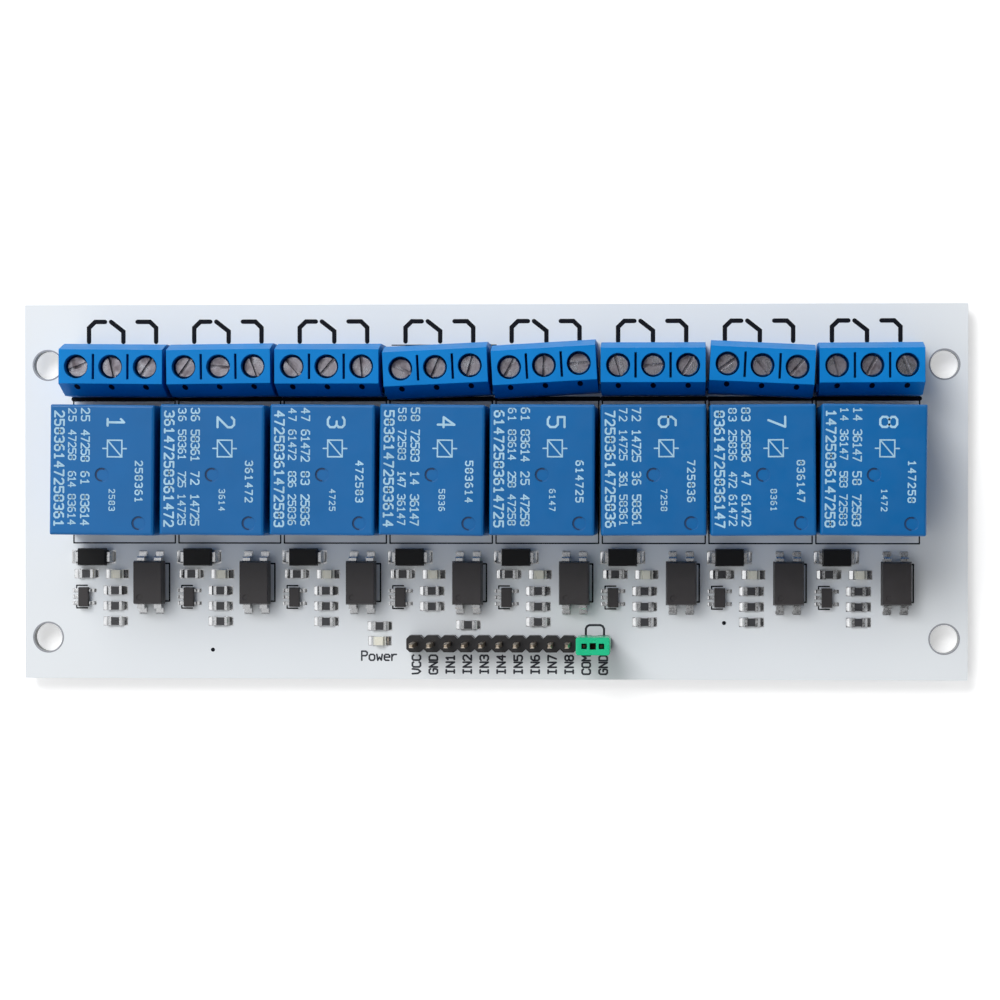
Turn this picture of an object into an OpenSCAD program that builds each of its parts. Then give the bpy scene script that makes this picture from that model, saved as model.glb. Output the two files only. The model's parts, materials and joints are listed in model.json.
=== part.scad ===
// Eight-channel relay module board: screw terminals along the back edge, one relay per
// channel behind them, then diodes, drivers and optocouplers, and a pin header in front.
// Millimetres. The origin is the middle of the four mounting holes, on the underside of
// the board. X runs along the board, Y towards the screw terminals, Z up.

/* [Circuit board] */
// Thickness of the circuit board
board_t = 1.6; // [1.2:0.1:2.4]
// Bare board beyond the first and the last channel
end_margin = 7; // [6.5:0.1:10]
// Bare board between the back edge and the wire side of the screw terminals
terminal_margin = 6.25; // [5.5:0.05:9]
// Bare board between the front edge and the middle of the pin header
header_margin = 5.4; // [5:0.1:8]
// Distance of the mounting holes from the two ends
hole_inset_x = 3.5; // [3.2:0.1:4]
// Distance of the back pair of mounting holes from the back edge
hole_inset_back = 9.05; // [5:0.05:12]
// Distance of the front pair of mounting holes from the front edge
hole_inset_front = 6.15; // [5:0.05:9]
// Diameter of the mounting holes
mount_hole_d = 4.2; // [3:0.1:4.6]
// Length of the pins left standing below the board
lead_tail = 1.5; // [1.2:0.1:2.5]

/* [Channels] */
// Gap between neighbouring cases of the widest row
channel_gap = 0.575; // [0.5:0.025:2]
// Gap between the screw terminals and the relays
relay_gap = 1.5; // [1:0.05:4]
// Depth of the strip of small parts, from the relays to the middle of the pin header
parts_depth = 16.2; // [15.8:0.1:22]
// Play of a pin in its drilled hole, on the radius
drill_play = 0.1; // [0.08:0.02:0.3]

/* [Screw terminal] */
// Distance between neighbouring poles
pole_pitch = 5.08; // [5:0.01:5.4]
// Height of the housing
terminal_h = 10.2; // [9.8:0.1:12]
// Depth of the flat top
terminal_top_depth = 5; // [4.6:0.1:6]
// Height of the sloping back
slope_drop = 4.5; // [3:0.1:6]
// Depth of the sloping back
slope_run = 1.65; // [1:0.05:2.5]
// Height of the bevel above the wire entries
bevel_drop = 1.7; // [1:0.1:2.5]
// Depth of the bevel above the wire entries
bevel_run = 0.5; // [0.3:0.05:1]
// Height of the cheek below the bevel
cheek_drop = 2.1; // [1:0.1:2.6]
// Depth of the cheek below the bevel
cheek_run = 0.5; // [0.3:0.05:1]
// Diameter of the screw access holes
access_d = 3.5; // [3.3:0.05:4]
// Play between a screw head and its access hole, on the radius
head_play = 0.18; // [0.1:0.02:0.3]
// Height of a screw head
head_h = 1.4; // [1:0.1:1.6]
// Depth of a screw head below the top of the housing
head_sink = 0.9; // [0.5:0.1:1.2]
// Width of the slot across a screw head
slot_w = 0.5; // [0.3:0.05:0.8]
// Depth of the slot across a screw head
slot_depth = 0.7; // [0.4:0.05:0.9]
// Diameter of the screw's thread
screw_d = 2.5; // [2:0.1:2.6]
// Width of the brass frame in each pole
frame_w = 4.1; // [3.8:0.05:4.3]
// Depth of the brass frame along the wire
frame_depth = 3.9; // [3.4:0.1:4.2]
// Sheet thickness of the brass frame
frame_t = 0.6; // [0.4:0.05:0.7]
// Thickness of the frame's threaded top
frame_top_t = 1.2; // [0.9:0.1:1.4]
// Height of the wire space in the frame
wire_space_h = 4; // [3.4:0.1:4.2]
// Width of the wire entry in the housing
entry_w = 3.7; // [3.2:0.1:3.9]
// Width of the solder pin below a frame
terminal_pin_w = 0.9; // [0.7:0.05:1.1]
// Thickness of the solder pin below a frame
terminal_pin_t = 0.6; // [0.5:0.05:0.8]

/* [Relay case] */
// Width of a relay case at its foot
relay_w = 15.3; // [15:0.1:16]
// Length of a relay case at its foot
relay_l = 19; // [18.8:0.1:20]
// Height of a relay case
relay_h = 15.4; // [15.2:0.1:18]
// Wall thickness of a relay case
relay_wall = 0.75; // [0.6:0.05:0.8]
// Draft of the walls, in degrees
relay_draft = 0.3; // [0:0.1:0.5]
// Radius of the upright edges
relay_corner_r = 0.6; // [0.4:0.05:1.2]
// Radius of the edges round the top
relay_edge_r = 0.4; // [0.25:0.05:0.7]
// Thickness of the base plate that closes a case
base_t = 1.8; // [1.4:0.1:2]
// Distance from the side walls to the middle of the coil pins and the contact pins
side_pin_inset = 0.82; // [0.8:0.02:1.2]
// Distance from the front wall to the middle of the common pin
common_pin_inset = 1.37; // [1.3:0.01:1.6]
// Distance from the back wall to the middle of the contact pins
contact_pin_inset = 1.77; // [1.5:0.01:1.9]
// Distance from the common pin to the coil pins
coil_pin_reach = 2; // [1.8:0.1:2.2]

/* [Relay mechanism] */
// Thickness of the yoke
yoke_t = 1.2; // [1:0.05:1.3]
// Width of the yoke and of the armature
yoke_w = 8; // [6:0.5:9]
// Room for the armature and the contacts, from the yoke's top to the roof of the case
contact_room = 3.35; // [3.3:0.05:4.2]
// Diameter of the coil's core
core_d = 3.6; // [3:0.1:4]
// Diameter of the pole face on the core
pole_d = 6.6; // [5.5:0.1:7]
// Thickness of the pole face
pole_t = 0.85; // [0.6:0.05:1]
// Bare bobbin left round the winding
winding_inset = 0.4; // [0.3:0.05:1]
// Thickness of the bobbin's walls
bobbin_t = 0.7; // [0.5:0.05:0.8]
// Thickness of the armature
armature_t = 1; // [0.8:0.05:1.1]
// Angle of the armature at rest, in degrees
armature_tilt = 2.5; // [1.5:0.1:2.6]
// Thickness of the contact spring
spring_t = 0.2; // [0.12:0.01:0.22]
// Width of the contact spring
spring_w = 5; // [4:0.1:6]
// Height of one side of a contact rivet
contact_h = 0.4; // [0.3:0.02:0.42]
// Diameter of a contact rivet
contact_d = 2.2; // [1.6:0.1:2.4]
// Thickness of the fixed contact blades
blade_t = 0.35; // [0.25:0.05:0.4]

/* [Small parts] */
// Width of an optocoupler body
opto_w = 4.58; // [4.4:0.02:5]
// Length of an optocoupler body between its two rows of leads
opto_l = 6.5; // [6.2:0.1:6.8]
// Height of an optocoupler above the board
opto_h = 3.6; // [3:0.1:4]
// Length of an optocoupler over its leads
opto_span = 9.4; // [9:0.1:9.8]
// Length of a diode body
diode_l = 4.3; // [4:0.1:4.6]
// Width of a diode body
diode_w = 2.6; // [2.3:0.1:2.8]
// Height of a diode above the board
diode_h = 2.1; // [1.8:0.1:2.4]
// Length of a driver body
driver_l = 2.9; // [2.7:0.05:3.1]
// Width of a driver body
driver_w = 1.6; // [1.4:0.05:1.7]
// Height of a driver above the board
driver_h = 1.1; // [0.9:0.05:1.4]
// Length of a chip resistor and of an LED
chip_l = 2; // [1.8:0.05:2.2]
// Width of a chip resistor and of an LED
chip_w = 1.25; // [1.1:0.05:1.4]
// Height of a chip resistor
chip_h = 0.5; // [0.4:0.02:0.6]
// Height of an LED
led_h = 0.8; // [0.7:0.02:1.1]

/* [Pin header and jumper] */
// Distance between neighbouring header pins
header_pitch = 2.54; // [2.5:0.01:2.6]
// Height and depth of the header's plastic strip
strip_h = 2.5; // [2.3:0.05:2.7]
// Side of a square header pin
header_pin = 0.64; // [0.6:0.01:0.7]
// Length of a header pin above the strip
header_pin_reach = 6.1; // [5.8:0.1:8]
// Length of the jumper
jumper_l = 5; // [4.9:0.02:5.1]
// Depth of the jumper
jumper_w = 2.6; // [2.4:0.05:2.8]
// Height of the jumper
jumper_h = 6; // [5.6:0.1:6.1]
// Sheet thickness of the jumper's clip
clip_t = 0.2; // [0.15:0.01:0.25]

/* [Hidden] */
$fn = 48;
channel_count = 8;
poles = 3;
header_count = 12;
eps = 0.01;

// How each relay and each terminal sits: hand-soldered parts stand a little askew.
relay_skew = [-0.6, -0.5, -0.4, -0.7, -0.3, 0.2, 0.4, -0.6];
relay_shift = [-0.15, -0.05, 0.05, 0, 0, 0.12, -0.08, -0.12];
terminal_skew = [-0.5, 0.7, 0, 2.7, 3.3, 0, -2.7, 0.3];
terminal_shift_y = [0, 0, 0, -0.1, 0.15, 0.15, 0.1, 0.1];

// Angle of the slot of every screw, pole by pole.
slot_angles = [
    [20, 103, 55], [54, -5, 110], [131, 49, 96], [155, 67, 73],
    [60, 88, 5], [107, 5, 58], [35, 129, 48], [105, 62, 113]
];

// Terminal housing, from the screw axis.
terminal_l = poles * pole_pitch;
terminal_back = terminal_top_depth / 2 + slope_run;
terminal_front = terminal_top_depth / 2 + bevel_run + cheek_run;
terminal_depth = terminal_back + terminal_front;

// Rows of parts, from the mounting-hole pattern.
channel_pitch = max(terminal_l, relay_w) + channel_gap;
board_l = channel_count * channel_pitch + 2 * end_margin;
board_w = terminal_margin + terminal_depth + relay_gap + relay_l + parts_depth + header_margin;
mount_span_x = board_l - 2 * hole_inset_x;
mount_span_y = board_w - hole_inset_back - hole_inset_front;
back_edge = mount_span_y / 2 + hole_inset_back;
front_edge = back_edge - board_w;
terminal_y = back_edge - terminal_margin - terminal_front;
relay_y = terminal_y - terminal_back - relay_gap - relay_l / 2;
parts_y = relay_y - relay_l / 2;
header_y = front_edge + header_margin;
row_x = 0.1;

// Screw terminal, heights above the board.
fit_gap = 0.05;
head_top = terminal_h - head_sink;
head_bottom = head_top - head_h;
head_d = access_d - 2 * head_play;
seat_t = 0.7;
frame_top = head_bottom - 0.3 - seat_t;
wire_top = frame_top - frame_top_t;
wire_bottom = wire_top - wire_space_h;
frame_bottom = wire_bottom - frame_t;
frame_inner_w = frame_w - 2 * frame_t;
guard_t = 0.25;
guard_w = frame_inner_w - 0.3;
guard_drop = 0.35;
screw_tip = wire_top - 0.15;
pole_slot_w = 0.35;
pole_slot_l = 3.7;
pole_slot_depth = 2.5;
probe_d = 0.6;
probe_depth = 1;
key_y = -(frame_depth / 2 + fit_gap + terminal_back) / 2;
key_w = 1.2;
key_out = 0.35;
key_play = 0.12;

// Drilled holes: a pin's own corner, its wander with a skewed housing, and play.
max_skew = max([for (a = terminal_skew) abs(a)]);
max_slide = max([for (s = terminal_shift_y) abs(s)]);
terminal_wander = pole_pitch * sin(max_skew) + max_slide;
terminal_drill_d = 2 * (norm([terminal_pin_w / 2, terminal_pin_t / 2 + terminal_wander]) + drill_play);
relay_wander = max([for (s = relay_shift) abs(s)]) + 0.11;
blade_pin_w = 1;
common_pin_w = 1.2;
common_pin_t = 0.6;
coil_pin_d = 0.7;
header_drill_d = header_pin * sqrt(2) + 2 * fit_gap;

// Relay, from its own middle; heights above the board.
cavity_w = relay_w - 2 * relay_wall - 2 * relay_h * tan(relay_draft);
cavity_l = relay_l - 2 * relay_wall - 2 * relay_h * tan(relay_draft);
cavity_h = relay_h - relay_wall - 0.1;
cavity_r = 0.3;
relay_pin_span = cavity_w - 2 * side_pin_inset;
common_pin_y = common_pin_inset - cavity_l / 2;
contact_pin_y = cavity_l / 2 - contact_pin_inset;
coil_pin_y = common_pin_y + coil_pin_reach;
contact_y = contact_pin_y - 0.9;
yoke_back = common_pin_y - 0.3;
yoke_front = yoke_back + yoke_t;
yoke_top = cavity_h - contact_room;
foot_top = base_t + yoke_t;
coil_gap = 0.4;
barrier_t = 0.6;
barrier_h = 5;
barrier_w = relay_pin_span - 2;
flange_l = contact_y - contact_d / 2 - yoke_front - 2 * coil_gap - barrier_t - 0.1;
flange_w = flange_l + 1;
flange_r = 2;
winding_d = flange_l - 2 * winding_inset;
coil_y = yoke_front + coil_gap + flange_l / 2;
lug_w = relay_pin_span + coil_pin_d + 0.7;
lug_front = coil_pin_y + coil_pin_d;
foot_front = coil_y + core_d;
bobbin_bore_d = core_d + 2 * fit_gap;
tube_d = bobbin_bore_d + 2 * bobbin_t;
core_neck_d = core_d - 1;
bobbin_top = yoke_top - pole_t;
hinge_y = yoke_back + yoke_t / 2;
hinge_r = 0.3;
hinge_play = 0.06;
armature_bottom = yoke_top + hinge_play;
armature_top = armature_bottom + armature_t;
armature_front = coil_y + pole_d / 2 + 1;
spring_top = armature_top + spring_t;
stake_d = 1.2;
stake_h = 0.35;
stake_x = 1.4;
stake_z = (base_t + yoke_top) / 2 + 1.5;
spring_foot = stake_z - stake_d;
contact_play = 0.03;
blade_pin_t = 0.4;
arm_y0 = contact_y - 1;
arm_y1 = contact_pin_y + blade_pin_t / 2;
arm_end = contact_d / 2 + 0.1;
riser_w = 1.4;

// Height of a point of the armature's body when the armature stands at its rest angle.
function lifted(y, z) =
    yoke_top + (z - yoke_top) * cos(armature_tilt) + (y - hinge_y) * sin(armature_tilt);
nc_face = lifted(contact_y + contact_d / 2, spring_top + contact_h) + contact_play;
no_face = armature_top - contact_h - contact_play;

// Small parts: places from the channel's middle and from the relays' front face.
diode_at = [-4.62, -3.35];
driver_at = [-6.05, -9.35];
opto_at = [4.1, -7.15];
left_chip_at = [-5.72, -5.9];
led_at = [-1.05, -5.93];
chip_column_at = [-1.35, -8.4];
chip_column_step = 2.3;
odd_channel = 4;
odd_chip_at = [4.07, -13.45];
power_x = -17.02;
power_chip_y = header_y + 2.54;
power_led_y = header_y + 0.31;
header_x = 2.42;
lead_t = 0.25;
cap_t = 0.05;
cap_reach = 0.4;

// Every chip resistor and every LED, as [x, y] on the board.
chip_places = concat(
    [for (ch = [1:channel_count]) [channel_x(ch), parts_y] + left_chip_at],
    [for (ch = [1:channel_count], k = [0:2])
        [channel_x(ch), parts_y] + (ch == odd_channel && k == 2
            ? odd_chip_at : chip_column_at - [0, k * chip_column_step])],
    [[power_x, power_chip_y]]
);
led_places = concat(
    [for (ch = [1:channel_count]) [channel_x(ch), parts_y] + led_at],
    [[power_x, power_led_y]]
);

// ---- Placing ----

function channel_x(ch) = row_x + (ch - (channel_count + 1) / 2) * channel_pitch;
function pole_x(pole) = (pole - (poles + 1) / 2) * pole_pitch;
function header_pin_x(i) = header_x + (i - (header_count + 1) / 2) * header_pitch;

module at_channel(ch) {
    translate([channel_x(ch), parts_y, board_t]) children();
}

module at_relay(ch) {
    translate([channel_x(ch) + relay_shift[ch - 1], relay_y, board_t])
        rotate([0, 0, relay_skew[ch - 1]])
            children();
}

module at_every_relay() {
    for (ch = [1:channel_count]) at_relay(ch) children();
}

module at_terminal(ch) {
    translate([channel_x(ch), terminal_y + terminal_shift_y[ch - 1], board_t])
        rotate([0, 0, terminal_skew[ch - 1]])
            children();
}

module at_every_pole() {
    for (ch = [1:channel_count], pole = [1:poles])
        at_terminal(ch) translate([pole_x(pole), 0, 0]) children();
}

module at_places(places) {
    for (p = places) translate([p[0], p[1], board_t]) children();
}

// Swings the armature's own frame from lying flat on the pole face to its rest angle.
module at_rest_angle() {
    translate([0, hinge_y, yoke_top])
        rotate([armature_tilt, 0, 0])
            translate([0, -hinge_y, -yoke_top])
                children();
}

// ---- Shared shapes ----

// A box that is centred in X and Y and stands on z = 0.
module block(w, l, h) {
    translate([-w / 2, -l / 2, 0]) cube([w, l, h]);
}

// A box given by its ends on each axis.
module span(x, y, z) {
    translate([x[0], y[0], z[0]]) cube([x[1] - x[0], y[1] - y[0], z[1] - z[0]]);
}

// A rectangle with rounded corners.
module rounded_rectangle(w, l, r) {
    square([w - 2 * r, l], center = true);
    square([w, l - 2 * r], center = true);
    for (sx = [-1, 1], sy = [-1, 1])
        translate([sx * (w / 2 - r), sy * (l / 2 - r)]) circle(r);
}

// The outline of a drafted wall with a rounded top edge, standing on y = 0.
module drafted_outline(w, h, draft, r) {
    top_x = w / 2 - (h - r) * tan(draft) - r / cos(draft);
    polygon([
        [-w / 2, 0], [w / 2, 0],
        [top_x + r * cos(draft), h - r + r * sin(draft)], [top_x, h],
        [-top_x, h], [-top_x - r * cos(draft), h - r + r * sin(draft)]
    ]);
    for (s = [-1, 1]) translate([s * top_x, h - r]) circle(r);
}

// Extrudes an outline drawn in Y and Z along X, centred.
module along_x(length) {
    translate([-length / 2, 0, 0])
        rotate([90, 0, 90])
            linear_extrude(length) children();
}

// Extrudes an outline drawn in X and Z along Y, centred.
module along_y(length) {
    translate([0, length / 2, 0])
        rotate([90, 0, 0])
            linear_extrude(length) children();
}

// A moulded body that is widest at its parting line and tapers up and down from it.
module moulded_body(w, l, low, high, parting, taper) {
    intersection() {
        along_y(l + 1) taper_outline(w, low, high, parting, taper);
        along_x(w + 1) taper_outline(l, low, high, parting, taper);
    }
}

module taper_outline(w, low, high, parting, taper) {
    polygon([
        [-w / 2 + taper, low], [w / 2 - taper, low], [w / 2, parting],
        [w / 2 - taper, high], [-w / 2 + taper, high], [-w / 2, parting]
    ]);
}

// A gull-wing lead that leaves a body at +X and steps down to the board.
module gull_lead(x0, x1, shoulder_z, width) {
    knee = x0 + (x1 - x0) * 0.4;
    foot = x0 + (x1 - x0) * 0.55;
    along_y(width)
        polygon([
            [x0, shoulder_z], [knee, shoulder_z], [foot - lead_t, 0], [x1, 0],
            [x1, lead_t], [foot, lead_t], [knee + lead_t, shoulder_z + lead_t],
            [x0, shoulder_z + lead_t]
        ]);
}

// ---- Circuit board ----

module circuit_board() {
    color("whitesmoke") difference() {
        span([-board_l / 2, board_l / 2], [front_edge, back_edge], [0, board_t]);
        for (sx = [-1, 1], sy = [-1, 1])
            translate([sx * mount_span_x / 2, sy * mount_span_y / 2, 0]) drill(mount_hole_d);
        for (ch = [1:channel_count]) {
            for (pole = [1:poles])
                translate([channel_x(ch) + pole_x(pole), terminal_y, 0]) drill(terminal_drill_d);
            for (p = relay_pin_places())
                translate([channel_x(ch) + p[0], relay_y + p[1], 0]) drill(relay_drill_d(p));
        }
        for (i = [1:header_count])
            translate([header_pin_x(i), header_y, 0]) drill(header_drill_d);
    }
}

module drill(d) {
    translate([0, 0, -1]) cylinder(d = d, h = board_t + 2);
}

// The pins of a relay, as [x, y, diameter round the pin].
function relay_pin_places() = [
    [0, common_pin_y, norm([common_pin_w, common_pin_t])],
    for (s = [-1, 1]) [s * relay_pin_span / 2, coil_pin_y, coil_pin_d],
    for (s = [-1, 1]) [s * relay_pin_span / 2, contact_pin_y, norm([blade_pin_w, blade_pin_t])]
];

function relay_drill_d(p) = p[2] + 2 * (relay_wander + drill_play);

// ---- Relay ----

module relay_case(ch) {
    sink_d = 2;
    sink_depth = 0.15;
    color("dodgerblue") at_relay(ch) difference() {
        intersection() {
            linear_extrude(relay_h) rounded_rectangle(relay_w, relay_l, relay_corner_r);
            along_y(relay_l + 1) drafted_outline(relay_w, relay_h, relay_draft, relay_edge_r);
            along_x(relay_w + 1) drafted_outline(relay_l, relay_h, relay_draft, relay_edge_r);
        }
        translate([0, 0, -1])
            linear_extrude(cavity_h + 1) rounded_rectangle(cavity_w, cavity_l, cavity_r);
        for (p = [[0, -0.7], [5.4, -7.65]])
            translate([p[0], p[1], relay_h - sink_depth]) cylinder(d = sink_d, h = 1);
    }
}

module relay_bases() {
    barrier_y = coil_y + flange_l / 2 + coil_gap;
    color("navy") at_every_relay() difference() {
        union() {
            linear_extrude(base_t)
                rounded_rectangle(cavity_w - 2 * fit_gap, cavity_l - 2 * fit_gap, cavity_r);
            span([-barrier_w / 2, barrier_w / 2], [barrier_y, barrier_y + barrier_t],
                 [base_t - eps, base_t + barrier_h]);
        }
        translate([0, common_pin_y, -1])
            block(common_pin_w + 2 * fit_gap, common_pin_t + 2 * fit_gap, base_t + 2);
        for (s = [-1, 1]) {
            translate([s * relay_pin_span / 2, coil_pin_y, -1])
                cylinder(d = coil_pin_d + 2 * fit_gap, h = base_t + 2);
            translate([s * relay_pin_span / 2, contact_pin_y, -1])
                block(blade_pin_w + 2 * fit_gap, blade_pin_t + 2 * fit_gap, base_t + 2);
        }
    }
}

module relay_yokes() {
    color("silver") at_every_relay() difference() {
        union() {
            span([-yoke_w / 2, yoke_w / 2], [yoke_back, foot_front], [base_t, foot_top]);
            span([-yoke_w / 2, yoke_w / 2], [yoke_back, yoke_front], [base_t, yoke_top]);
            translate([0, hinge_y, yoke_top])
                rotate([0, 90, 0]) cylinder(r = hinge_r, h = yoke_w, center = true);
            for (s = [-1, 1])
                translate([s * stake_x, yoke_back + eps, stake_z])
                    rotate([90, 0, 0]) cylinder(d = stake_d, h = spring_t + stake_h / 2);
        }
        translate([0, coil_y, 0]) cylinder(d = core_neck_d + fit_gap, h = foot_top + 1);
    }
}

module relay_cores() {
    color("gainsboro") at_every_relay() translate([0, coil_y, 0]) {
        translate([0, 0, base_t]) cylinder(d = core_neck_d, h = yoke_t + eps);
        translate([0, 0, foot_top]) cylinder(d = core_d, h = bobbin_top - foot_top + eps);
        translate([0, 0, bobbin_top]) cylinder(d = pole_d, h = pole_t);
    }
}

module relay_bobbins() {
    color("ivory") at_every_relay() difference() {
        union() {
            for (z = [foot_top, bobbin_top - bobbin_t])
                translate([0, coil_y, z])
                    linear_extrude(bobbin_t) rounded_rectangle(flange_w, flange_l, flange_r);
            translate([0, coil_y, foot_top]) cylinder(d = tube_d, h = bobbin_top - foot_top);
            span([-lug_w / 2, lug_w / 2], [coil_y - flange_l / 2, lug_front],
                 [foot_top, foot_top + bobbin_t]);
        }
        translate([0, coil_y, foot_top - 1])
            cylinder(d = bobbin_bore_d, h = bobbin_top - foot_top + 2);
        for (s = [-1, 1])
            translate([s * relay_pin_span / 2, coil_pin_y, foot_top - 1])
                cylinder(d = coil_pin_d + 2 * fit_gap, h = bobbin_t + 2);
    }
}

module relay_windings() {
    color("peru") at_every_relay()
        translate([0, coil_y, foot_top + bobbin_t]) difference() {
            cylinder(d = winding_d, h = bobbin_top - foot_top - 2 * bobbin_t);
            translate([0, 0, -1]) cylinder(d = tube_d + fit_gap, h = bobbin_top);
        }
}

module armature(ch) {
    color("silver") at_relay(ch) at_rest_angle() difference() {
        union() {
            span([-yoke_w / 2, yoke_w / 2], [yoke_back + 0.1, armature_front],
                 [armature_bottom, armature_top]);
            for (s = [-1, 1])
                translate([s * stake_x, coil_y, armature_top - eps])
                    cylinder(d = stake_d, h = spring_t + stake_h);
        }
        translate([0, hinge_y, yoke_top]) rotate([0, 90, 0])
            cylinder(r = hinge_r + hinge_play, h = yoke_w + 2, center = true);
    }
}

module contact_spring(ch) {
    tip_w = contact_d + 0.8;
    tip_y = contact_y + contact_d / 2;
    color("goldenrod") at_relay(ch) difference() {
        union() {
            at_rest_angle() {
                span([-spring_w / 2, spring_w / 2], [yoke_back - spring_t, armature_front],
                     [armature_top, spring_top]);
                span([-tip_w / 2, tip_w / 2], [armature_front - eps, tip_y],
                     [armature_top, spring_top]);
                translate([0, contact_y, armature_top - contact_h])
                    cylinder(d = contact_d, h = spring_t + 2 * contact_h);
            }
            span([-spring_w / 2, spring_w / 2], [yoke_back - spring_t, yoke_back],
                 [spring_foot, armature_top]);
        }
        at_rest_angle()
            for (s = [-1, 1])
                translate([s * stake_x, coil_y, armature_top - 1])
                    cylinder(d = stake_d + 2 * fit_gap, h = 3);
        for (s = [-1, 1])
            translate([s * stake_x, yoke_back + 1, stake_z])
                rotate([90, 0, 0]) cylinder(d = stake_d + 2 * fit_gap, h = 3);
    }
}

// A fixed contact: solder pin, riser on the base, bent arm and contact rivet.
// side is -1 or 1; face is the height of the contact face and up is where it looks.
module contact_blade(side, face, up) {
    arm_low = up > 0 ? face - contact_h - blade_t : face + contact_h;
    pin_x = side * relay_pin_span / 2;
    outer = pin_x + side * riser_w / 2;
    inner = -side * arm_end;
    translate([pin_x, contact_pin_y, -board_t - lead_tail])
        block(blade_pin_w, blade_pin_t, board_t + lead_tail + base_t + eps);
    translate([pin_x, contact_pin_y, base_t])
        block(riser_w, blade_pin_t, arm_low + blade_t - base_t);
    span([min(outer, inner), max(outer, inner)], [arm_y0, arm_y1], [arm_low, arm_low + blade_t]);
    translate([0, contact_y, up > 0 ? arm_low + blade_t - eps : face])
        cylinder(d = contact_d, h = contact_h + eps);
}

module relay_no_blades() {
    color("tan") at_every_relay() contact_blade(-1, no_face, 1);
}

module relay_nc_blades() {
    color("tan") at_every_relay() contact_blade(1, nc_face, -1);
}

module relay_pins() {
    coil_pin_top = foot_top + bobbin_t + 1;
    color("lightgray") at_every_relay() {
        for (s = [-1, 1])
            translate([s * relay_pin_span / 2, coil_pin_y, -board_t - lead_tail])
                cylinder(d = coil_pin_d, h = board_t + lead_tail + coil_pin_top);
        translate([0, common_pin_y, -board_t - lead_tail])
            block(common_pin_w, common_pin_t, board_t + lead_tail + base_t);
    }
}

// ---- Screw terminal ----

module housing_outline() {
    polygon([
        [-terminal_back, 0], [terminal_front, 0],
        [terminal_front, terminal_h - bevel_drop - cheek_drop],
        [terminal_front - cheek_run, terminal_h - bevel_drop],
        [terminal_top_depth / 2, terminal_h], [-terminal_top_depth / 2, terminal_h],
        [-terminal_back, terminal_h - slope_drop]
    ]);
}

// A dovetail key on one end of a housing; it slides into the next housing's groove.
module housing_key(play) {
    rise = terminal_h - slope_drop;
    linear_extrude(rise) polygon([
        [eps, key_y - key_w / 2 + 0.2 - play], [-key_out - play, key_y - key_w / 2 - play],
        [-key_out - play, key_y + key_w / 2 + play], [eps, key_y + key_w / 2 - 0.2 + play]
    ]);
}

module terminal_housing(ch) {
    slope_z = terminal_h - slope_drop / 4;
    slope_y = -terminal_top_depth / 2 - slope_run / 4;
    color("royalblue") at_terminal(ch) difference() {
        union() {
            along_x(terminal_l) housing_outline();
            translate([-terminal_l / 2, 0, 0]) housing_key(0);
        }
        translate([terminal_l / 2, 0, -1]) housing_key(key_play);
        for (pole = [1:poles]) translate([pole_x(pole), 0, 0]) {
            translate([0, 0, frame_top + seat_t]) cylinder(d = access_d, h = terminal_h);
            translate([0, 0, frame_top - 1]) cylinder(d = screw_d + 0.4, h = seat_t + 2);
            translate([0, 0, -1])
                block(frame_w + 2 * fit_gap, frame_depth + 2 * fit_gap, frame_top + 1);
            span([-entry_w / 2, entry_w / 2], [0, terminal_front + 1], [wire_bottom, wire_top]);
            translate([0, slope_y, slope_z])
                rotate([90, 0, 0]) cylinder(d = probe_d, h = 2 * probe_depth, center = true);
        }
        for (pole = [1:poles - 1])
            translate([pole_x(pole) + pole_pitch / 2, 0, terminal_h - pole_slot_depth])
                block(pole_slot_w, pole_slot_l, pole_slot_depth + 1);
    }
}

module terminal_screws() {
    color("darkgray") for (ch = [1:channel_count], pole = [1:poles])
        at_terminal(ch) translate([pole_x(pole), 0, 0])
            rotate([0, 0, slot_angles[ch - 1][pole - 1] - terminal_skew[ch - 1]]) screw();
}

module screw() {
    difference() {
        union() {
            translate([0, 0, head_bottom]) cylinder(d = head_d, h = head_h);
            translate([0, 0, screw_tip]) cylinder(d = screw_d, h = head_bottom - screw_tip + eps);
        }
        translate([0, 0, head_top - slot_depth]) block(head_d + 1, slot_w, slot_depth + 1);
    }
}

module terminal_frames() {
    color("khaki") at_every_pole() {
        difference() {
            translate([0, 0, frame_bottom]) block(frame_w, frame_depth, frame_top - frame_bottom);
            translate([0, 0, wire_bottom]) block(frame_inner_w, frame_depth + 1, wire_space_h);
            translate([0, 0, wire_top - 1])
                cylinder(d = screw_d + 2 * fit_gap, h = frame_top_t + 2);
        }
        translate([0, 0, -board_t - lead_tail])
            block(terminal_pin_w, terminal_pin_t, board_t + lead_tail + frame_bottom + eps);
    }
}

// A leaf that hooks over the frame's front and lies between the screw and the wire.
module wire_guards() {
    front = frame_depth / 2;
    color("gainsboro") at_every_pole() along_x(guard_w)
        polygon([
            [front - guard_t - 0.05, wire_top], [front - 0.05, wire_top],
            [front - 0.05, wire_top - guard_drop - guard_t],
            [-front + 0.6, wire_top - guard_drop - guard_t - 0.3],
            [-front + 0.6, wire_top - guard_drop - 0.3],
            [front - guard_t - 0.05, wire_top - guard_drop]
        ]);
}

// ---- Small parts ----

module at_optocouplers() {
    for (ch = [1:channel_count]) at_channel(ch) translate(opto_at) children();
}

module optocoupler_bodies() {
    stand = 0.1;
    dot_d = 0.9;
    color("darkslategray") at_optocouplers() difference() {
        moulded_body(opto_w, opto_l, stand, opto_h, opto_parting(), 0.22);
        translate([-1.15, -2.2, opto_h - 0.1]) cylinder(d = dot_d, h = 1);
    }
}

function opto_parting() = opto_h * 0.55;

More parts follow.
